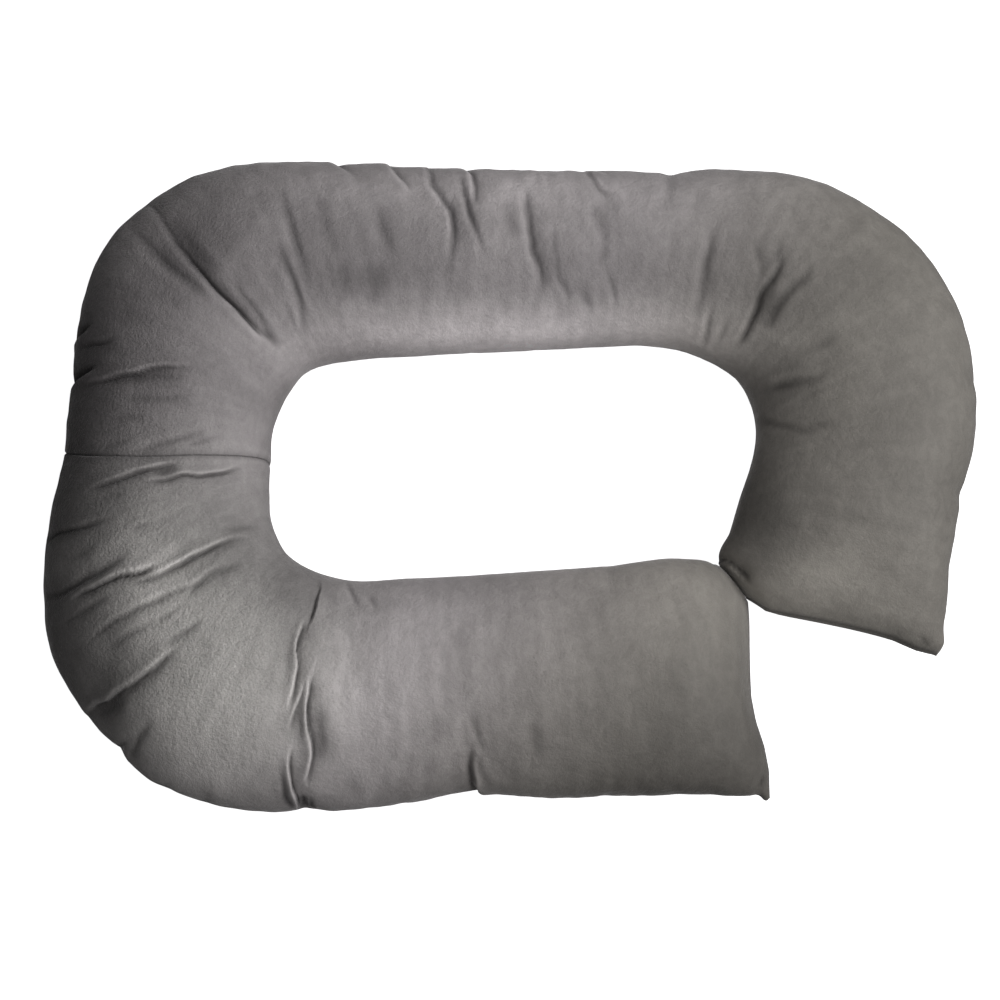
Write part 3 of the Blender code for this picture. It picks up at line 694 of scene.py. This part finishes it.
def folded(points, square, folds, part=1.0):
    """How far each point of the cover moves for the folds, and its painted shade in a fold and painted
    highlight on the ridge beside it.
    """
    moved = np.zeros_like(points)
    painted_shade_and_highlight = np.zeros(points.shape[:2])
    flat = points.reshape(-1, 3)
    wavering = wander(flat)
    for fold, line, leftward, depth in folds:
        reach = fold.width * FOLD_REACH
        low, high = line.min(axis=0) - reach, line.max(axis=0) + reach
        near = np.flatnonzero(((flat > low) & (flat < high)).all(axis=1))
        offset = (flat[near] + wavering[near])[:, None] - line[None]
        away = np.linalg.norm(offset, axis=2)
        k = away.argmin(axis=1)
        rows = np.arange(len(near))
        side = (offset[rows, k] * leftward[k]).sum(axis=1)
        u = away[rows, k] / fold.width
        share = np.where(side > 0, fold.left, fold.right)
        bare = np.clip(1 - share / SLOPE_SHARE, 0, 1)
        ridge = share * (bell(u / RIDGE_FAR) - bell(u / RIDGE_NEAR))
        valley = CORE_SHARE * bell(u, fold.softness) + (1 - CORE_SHARE) * bell(u / SLOPE_WIDTH) * bare
        # Painted shade in the fold and on its bare slope, and painted highlight on its crest.
        shade = CREASE_SHADE * bell(u / CREASE_WIDTH) + SLOPE_SHADE * bell(u / SLOPE_SHADE_WIDTH) * bare
        shade -= CREST_LIGHT * share * bell((u - CREST_PLACE) / CREST_WIDTH)
        painted_shade_and_highlight.reshape(-1)[near] += np.clip(depth[k] / CREASE_DEPTH, 0, 1) * shade
        pull = FOLD_DEPTH * depth[k] * (valley - ridge)
        lean = -np.sign(side)[:, None] * leftward[k] * (depth[k] * ridge * LEAN)[:, None]
        moved.reshape(-1, 3)[near] += lean - square.reshape(-1, 3)[near] * pull[:, None]
    raised = eased((points[..., 2] - FOLD_FLOOR) / (FOLD_FULL - FOLD_FLOOR))
    return part * moved * raised[..., None], painted_shade_and_highlight * raised


def lumps(points, at, angle):
    """The unevenness of the filling and the faint wrinkles that run across the tube, outwards."""
    out = LUMP_HEIGHT * noise_at(points, LUMP_SIZE)
    out += DIMPLE_HEIGHT * noise_at(points, DIMPLE_SIZE, DIMPLE_SHIFT)
    out += WRINKLE_HEIGHT * noise_at(rolled_out(at, angle, WRINKLE_SPACING, WRINKLE_RUN))
    return out * np.clip(points[..., 2] / FOLD_FULL, 0, 1)


def cross_seam(at):
    """How far the cross seam draws the cover in: a sharp groove in a wider dip."""
    groove = CROSS_SEAM_DEPTH * bell((at - SEAM_AT) / CROSS_SEAM_WIDTH, CROSS_SEAM_SOFTNESS)
    return groove + CROSS_SEAM_DIP * bell((at - SEAM_AT) / CROSS_SEAM_REACH)


def end_seam(from_end):
    """How far a sewn end's own seam draws the cover in, beside the flat lip that it leaves."""
    return LIP_DEPTH * bell((from_end - LIP_WIDTH) / LIP_SEAM_WIDTH)


def ears(at, angle):
    """How far the outer corners of the two ends stand out or are drawn in."""
    out = sum(ear.height * bell((at - ear.place) / ear.reach) for ear in SHORT_ARM_EARS)
    out = out + sum(ear.height * bell((LENGTH - at - ear.place) / ear.reach) for ear in LONG_ARM_EARS)
    return out[:, None] * np.maximum(np.cos(angle), 0) ** EAR_NARROWNESS


def calm(angle):
    """1 over the crown and less along the inner edge, where the cover lies smooth."""
    return 1 - INNER_CALM * bell((angle - np.pi) / INNER_CALM_REACH)


def cover(folds):
    """The points of the cover, and the painted shade and highlight of each of them, from the folds and the
    seams.
    """
    at, angle = stations(), ring_angles()
    points = cover_at(bowed(at[:, None], angle), angle)
    square = outward(points)
    full = rise_from_end(at)[:, None]
    from_end = np.minimum(at, LENGTH - at)
    moved, painted_shade_and_highlight = folded(points, square, folds)
    moved *= full[..., None]
    out = lumps(points, at, angle) * full * calm(angle)
    out -= cross_seam(at)[:, None] * np.clip(points[..., 2] / FOLD_FLOOR, 0, 1)
    out += ears(at, angle) - end_seam(from_end)[:, None] * (np.sin(angle) > 0)
    raised = np.clip(points[..., 2:] / FOLD_FULL, 0, 1)
    moved += swelling(at, angle, folds) * raised * calm(angle)[:, None]
    points = points + moved + square * out[..., None]
    points[..., 2] = np.maximum(points[..., 2], 0)
    # Painted shade in the seams' grooves and over the lips of the sewn ends.
    painted_seam_shade = CROSS_SEAM_SHADE * cross_seam(at) + LIP_SEAM_SHADE * end_seam(from_end)
    painted_seam_shade += LIP_SHADE * bell(from_end / LIP_WIDTH, LIP_FLATNESS)
    return points, painted_shade_and_highlight + painted_seam_shade[:, None]


def cap(built, ring, top):
    """The narrow strip that closes a sewn end, zipped from the outer ear to the inner corner."""
    upper = ring[:top]
    lower = ring[:1] + ring[: top - 2 : -1]
    i = j = 0
    while i + 1 < len(upper) or j + 1 < len(lower):
        if (i + 1) * (len(lower) - 1) <= (j + 1) * (len(upper) - 1):
            i += 1
            corners = (upper[i - 1], upper[i], lower[j])
        else:
            j += 1
            corners = (upper[i], lower[j], lower[j - 1])
        if len(set(corners)) == 3:
            built.faces.new(corners)


def closed_mesh(points, top):
    """A mesh through the sections, closed by a strip at each sewn end."""
    around = points.shape[1]
    built = bmesh.new()
    rings = [[built.verts.new(point * MM) for point in ring] for ring in points]
    for ring, following in zip(rings, rings[1:]):
        for i in range(around):
            j = (i + 1) % around
            built.faces.new((ring[i], ring[j], following[j], following[i]))
    cap(built, rings[0], top)
    cap(built, rings[-1], top)
    bmesh.ops.recalc_face_normals(built, faces=built.faces)
    mesh = bpy.data.meshes.new(NAME)
    built.to_mesh(mesh)
    built.free()
    mesh.shade_smooth()
    return mesh


def looseness(at, angle):
    """Where the cloth is longest for its place, 0 to 1: on the inner side of the bends."""
    middle = cover_at(at[:, None], np.array([0, np.pi])[None, :]).mean(axis=1)[:, :2]
    step = np.diff(middle, axis=0)
    heading = np.unwrap(np.arctan2(step[:, 1], step[:, 0]))
    bend = np.abs(np.gradient(heading)) / np.linalg.norm(step, axis=1)
    bend = np.interp(at, (at[1:] + at[:-1]) / 2, bend)
    wide = bell(np.arange(-BEND_REACH, BEND_REACH + 1) / (BEND_REACH / 2))
    bend = np.convolve(bend, wide / wide.sum(), mode="same")
    inner = (1 - np.cos(angle)) / 2
    return np.clip(bend / bend.max(), 0, 1)[:, None] * inner[None, :]


def cloth(body, held, slack):
    """A cloth with pressure inside it on the body, held and loosened by the two vertex groups."""
    added = body.modifiers.new("filling", "CLOTH")
    added.point_cache.frame_end = CLOTH_FRAMES
    added.collision_settings.use_collision = False
    added.collision_settings.use_self_collision = False
    settings = added.settings
    settings.pin_stiffness = 1.0
    settings.vertex_group_mass = held.name
    settings.vertex_group_shrink = slack.name
    settings.shrink_min = -SLACK_LEAST
    settings.shrink_max = -SLACK_MOST
    settings.quality = CLOTH_QUALITY
    settings.mass = CLOTH_MASS
    settings.tension_stiffness = CLOTH_STIFFNESS
    settings.compression_stiffness = CLOTH_STIFFNESS
    settings.shear_stiffness = CLOTH_SHEAR
    settings.bending_stiffness = CLOTH_BENDING
    settings.use_pressure = True
    settings.uniform_pressure_force = CLOTH_PRESSURE
    settings.effector_weights.gravity = 0


def filled(points, slackness):
    """How far a cloth simulation moves each point of a coarse cover that is pressed out from inside."""
    body = bpy.data.objects.new("inflating", closed_mesh(points, COARSE_AROUND // 2 + 1))
    scene = bpy.context.scene
    scene.collection.objects.link(body)
    held = body.vertex_groups.new(name="held")
    slack = body.vertex_groups.new(name="slack")
    for i, (height, loose) in enumerate(zip(points[..., 2].reshape(-1), slackness.reshape(-1))):
        held.add([i], 1.0 if height < HELD_UNDER else HELD_SHARE, "REPLACE")
        slack.add([i], float(loose), "REPLACE")
    cloth(body, held, slack)
    for frame_number in range(1, CLOTH_FRAMES + 1):
        scene.frame_set(frame_number)
    settled = body.evaluated_get(bpy.context.evaluated_depsgraph_get()).to_mesh()
    places = np.empty(len(settled.vertices) * 3, np.float32)
    settled.vertices.foreach_get("co", places)
    scene.frame_set(1)
    bpy.data.objects.remove(body)
    return places.reshape(points.shape).astype(float) / MM - points


def smoothed(grid, along_cells, around_cells):
    """A grid of vectors, evened out over that many cells along the tube and around it."""
    for axis, cells, mode in ((0, along_cells, "edge"), (1, around_cells, "wrap")):
        reach = 2 * cells
        weights = bell(np.arange(-reach, reach + 1) / cells)
        weights /= weights.sum()
        pad = [(0, 0)] * 3
        pad[axis] = (reach, reach)
        padded = np.pad(grid, pad, mode=mode)
        count = grid.shape[axis]
        grid = sum(w * np.take(padded, range(i, i + count), axis=axis) for i, w in enumerate(weights))
    return grid


def swelling(at, angle, folds):
    """How far the filling presses the cover out at each place, from a simulation on a coarser cover."""
    rows = np.linspace(0, LENGTH, round(LENGTH / COARSE_STEP) + 1)
    around = np.arange(COARSE_AROUND) * 2 * np.pi / COARSE_AROUND
    coarse = cover_at(bowed(rows[:, None], around), around)
    square = outward(coarse)
    start = coarse - square * SHRINK * np.clip(coarse[..., 2:] / FOLD_FLOOR, 0, 1)
    start += folded(coarse, square, folds, COARSE_FOLDS)[0]
    moved = filled(start, looseness(rows, around))
    moved = smoothed(moved, 1, 1) - smoothed(moved, BROAD_ALONG, BROAD_AROUND)
    far = np.linalg.norm(moved, axis=2, keepdims=True)
    moved *= np.minimum(1, MOST_MOVED / np.maximum(far, TINY)) * rise_from_end(rows)[:, None, None]
    whole = np.concatenate([moved, moved[:, :1]], axis=1)
    along = spline(rows, whole, at)
    closed = np.append(around, 2 * np.pi)
    return spline(closed, along.transpose(1, 0, 2), angle).transpose(1, 0, 2)


class Nodes:
    """The nodes of a material, with short ways to add to them."""

    def __init__(self, material):
        material.use_nodes = True
        self.tree = material.node_tree
        self.place = self.add("TexCoord").outputs["Object"]

    def add(self, kind, inputs=(), **settings):
        """A new node with its settings, and with its inputs, each a value or another node's output."""
        node = self.tree.nodes.new("ShaderNode" + kind)
        for name, value in settings.items():
            setattr(node, name, value)
        for name, value in dict(inputs).items():
            self.put(value, node.inputs[name])
        return node

    def put(self, value, socket):
        """Set a socket to a value, or link it to another node's output."""
        if isinstance(value, bpy.types.NodeSocket):
            self.tree.links.new(value, socket)
        else:
            socket.default_value = value

    def attribute(self, name):
        return self.add("Attribute", attribute_name=name).outputs["Fac"]

    def maths(self, kind, a, b):
        return self.add("Math", {0: a, 1: b}, operation=kind).outputs["Value"]

    def times(self, a, b):
        return self.maths("MULTIPLY", a, b)

    def noise(self, size, detail, roughness, stretch=1.0, distortion=0.0):
        """A noise by place on the pillow, of a size in metres."""
        stretched = self.add("Mapping", {"Vector": self.place, "Scale": (1, stretch, 1)})
        inputs = {
            "Vector": stretched.outputs["Vector"],
            "Scale": 1 / size,
            "Detail": detail,
            "Roughness": roughness,
            "Distortion": distortion,
        }
        return self.add("TexNoise", inputs).outputs["Fac"]

    def spread(self, value, low, high, to_low, to_high):
        """A value between low and high, spread softly from to_low to to_high."""
        inputs = {"Value": value, "From Min": low, "From Max": high, "To Min": to_low, "To Max": to_high}
        return self.add("MapRange", inputs, interpolation_type="SMOOTHSTEP").outputs["Result"]

    def uneven(self, row):
        """The spread noise of a Noise row."""
        made = self.noise(row.size, row.detail, row.roughness, row.stretch, row.distortion)
        return self.spread(made, row.low, row.high, row.to_low, row.to_high)

    def mixed(self, factor, first, second):
        """A colour between the first and the second."""
        inputs = {"Factor": factor, "A": first, "B": second}
        return self.add("Mix", inputs, data_type="RGBA").outputs["Result"]


def velvet_colour(nodes, crumpled):
    """The tint, which changes from left to right as painted light colour, times the tone of the brushed,
    crushed and grainy pile, its streaks, and its painted light and shade.
    """
    apart = nodes.add("SeparateXYZ", {"Vector": nodes.place})
    across = nodes.maths("SUBTRACT", apart.outputs["X"], nodes.times(apart.outputs["Y"], TINT_SLANT))
    rightward = nodes.spread(across, TINT_FROM, TINT_TO, 0.0, 1.0)
    # Painted light colour, from the left tint to the right one.
    tint = nodes.mixed(rightward, LEFT_TINT, RIGHT_TINT)
    tint = nodes.mixed(nodes.attribute("greened"), tint, GREENED_TINT)
    grain = nodes.times(nodes.times(nodes.uneven(GRAIN), crumpled), GRAIN_TONE)
    # The grain, times the streaks and the painted light and shade.
    pile = nodes.times(nodes.maths("ADD", grain, 1.0), nodes.attribute("stroked"))
    tone = nodes.times(nodes.times(nodes.uneven(BRUSHED), nodes.uneven(CRUSHED)), pile)
    return nodes.add("VectorMath", {0: tint, "Scale": tone}, operation="SCALE").outputs["Vector"]


def velvet():
    """Short-pile grey velvet, brushed and crushed unevenly, with painted light and shade read from the mesh.
    """
    material = bpy.data.materials.new("grey_velvet")
    nodes = Nodes(material)
    shader = nodes.tree.nodes["Principled BSDF"]
    for name, value in VELVET.items():
        shader.inputs[name].default_value = value
    crumpled = nodes.attribute("crumpled")
    nodes.put(velvet_colour(nodes, crumpled), shader.inputs["Base Color"])
    below = {}
    for relief in RELIEFS:
        height = nodes.noise(relief.size, relief.detail, relief.roughness)
        if relief.crumpled:
            height = nodes.times(height, crumpled)
        inputs = {"Height": height, "Strength": relief.strength, "Distance": relief.height, **below}
        below = {"Normal": nodes.add("Bump", inputs, label=relief.name).outputs["Normal"]}
    nodes.put(below["Normal"], shader.inputs["Normal"])
    return material


def floor():
    """The pale floor, which glows enough to show as white."""
    bpy.ops.mesh.primitive_plane_add(size=FLOOR_SIZE, location=(0, 0, 0))
    plane = bpy.context.object
    plane.name = "floor"
    material = bpy.data.materials.new("pale_floor")
    material.use_nodes = True
    shader = material.node_tree.nodes["Principled BSDF"]
    shader.inputs["Base Color"].default_value = FLOOR_GREY
    shader.inputs["Roughness"].default_value = FLOOR_ROUGHNESS
    shader.inputs["Emission Color"].default_value = WHITE
    shader.inputs["Emission Strength"].default_value = FLOOR_GLOW
    plane.data.materials.append(material)
    plane.visible_diffuse = False
    plane.visible_glossy = False


def soft_light(row):
    """A rectangular light that the camera doesn't see."""
    data = bpy.data.lights.new(row.name, "AREA")
    data.shape = "RECTANGLE"
    data.size, data.size_y = row.width, row.depth
    data.energy = row.power
    data.color = LIGHT_COLOUR
    light = bpy.data.objects.new(row.name, data)
    light.location = row.place
    light.rotation_euler = (Vector(row.aim) - Vector(row.place)).to_track_quat("-Z", "Y").to_euler()
    light.visible_camera = False
    bpy.context.scene.collection.objects.link(light)


def camera():
    """The camera, at the photo's angle."""
    data = bpy.data.cameras.new("camera")
    data.sensor_width = SENSOR
    data.lens = LENS
    data.clip_end = FARTHEST_SEEN
    eye = bpy.data.objects.new("camera", data)
    eye.location = sight()[0]
    eye.rotation_euler = (Vector(AIM) - eye.location).to_track_quat("-Z", "Y").to_euler()
    bpy.context.scene.collection.objects.link(eye)
    bpy.context.scene.camera = eye


def world():
    """A faint even light from all around."""
    studio = bpy.data.worlds.new("studio")
    studio.use_nodes = True
    background = studio.node_tree.nodes["Background"]
    background.inputs["Color"].default_value = WHITE
    background.inputs["Strength"].default_value = WORLD_STRENGTH
    bpy.context.scene.world = studio


def patched(points, patches):
    """The product of the patches' tones at each point, each fading out from its middle."""
    x, y = points[..., 0] * MM, points[..., 1] * MM
    tone = np.ones(x.shape)
    for patch in patches:
        tone *= patch.tone ** bell(np.hypot((x - patch.x) / patch.width, (y - patch.y) / patch.depth))
    return tone


def paint(mesh, name, values):
    """Keep a value for each point of the mesh, for the velvet to read."""
    layer = mesh.attributes.new(name, "FLOAT", "POINT")
    layer.data.foreach_set("value", values.reshape(-1).astype(np.float32))


places, seen = seen_places()
folds = [traced(fold, places, seen) for fold in FOLDS]
points, painted_shade_and_highlight = cover(folds)
streaks = noise_at(rolled_out(stations(), ring_angles(), STREAK_SPACING, STREAK_RUN))
# The painted light and shade of the patches, times the pile's streaks.
tone = patched(points, PAINTED_LIGHT_PATCHES) * np.exp(STREAK_TONE * streaks)
pillow = bpy.data.objects.new(NAME, closed_mesh(points, TOP_ANGLES))
# Painted shade in folds and seams and painted highlight on ridges, on top of that, for the velvet to read.
paint(pillow.data, "stroked", tone * np.exp(-np.clip(painted_shade_and_highlight, LIGHTEST_CREASE, DARKEST_CREASE)))
paint(pillow.data, "greened", 1 - patched(points, GREENED))
paint(pillow.data, "crumpled", CRUMPLE_LEAST * patched(points, CRUMPLES))
pillow.data.materials.append(velvet())
bpy.context.scene.collection.objects.link(pillow)
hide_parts("body_pillow")
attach(pillow, "root")

floor()
camera()
for row in LIGHTS:
    soft_light(row)
world()
bpy.context.scene.view_settings.view_transform = "Standard"
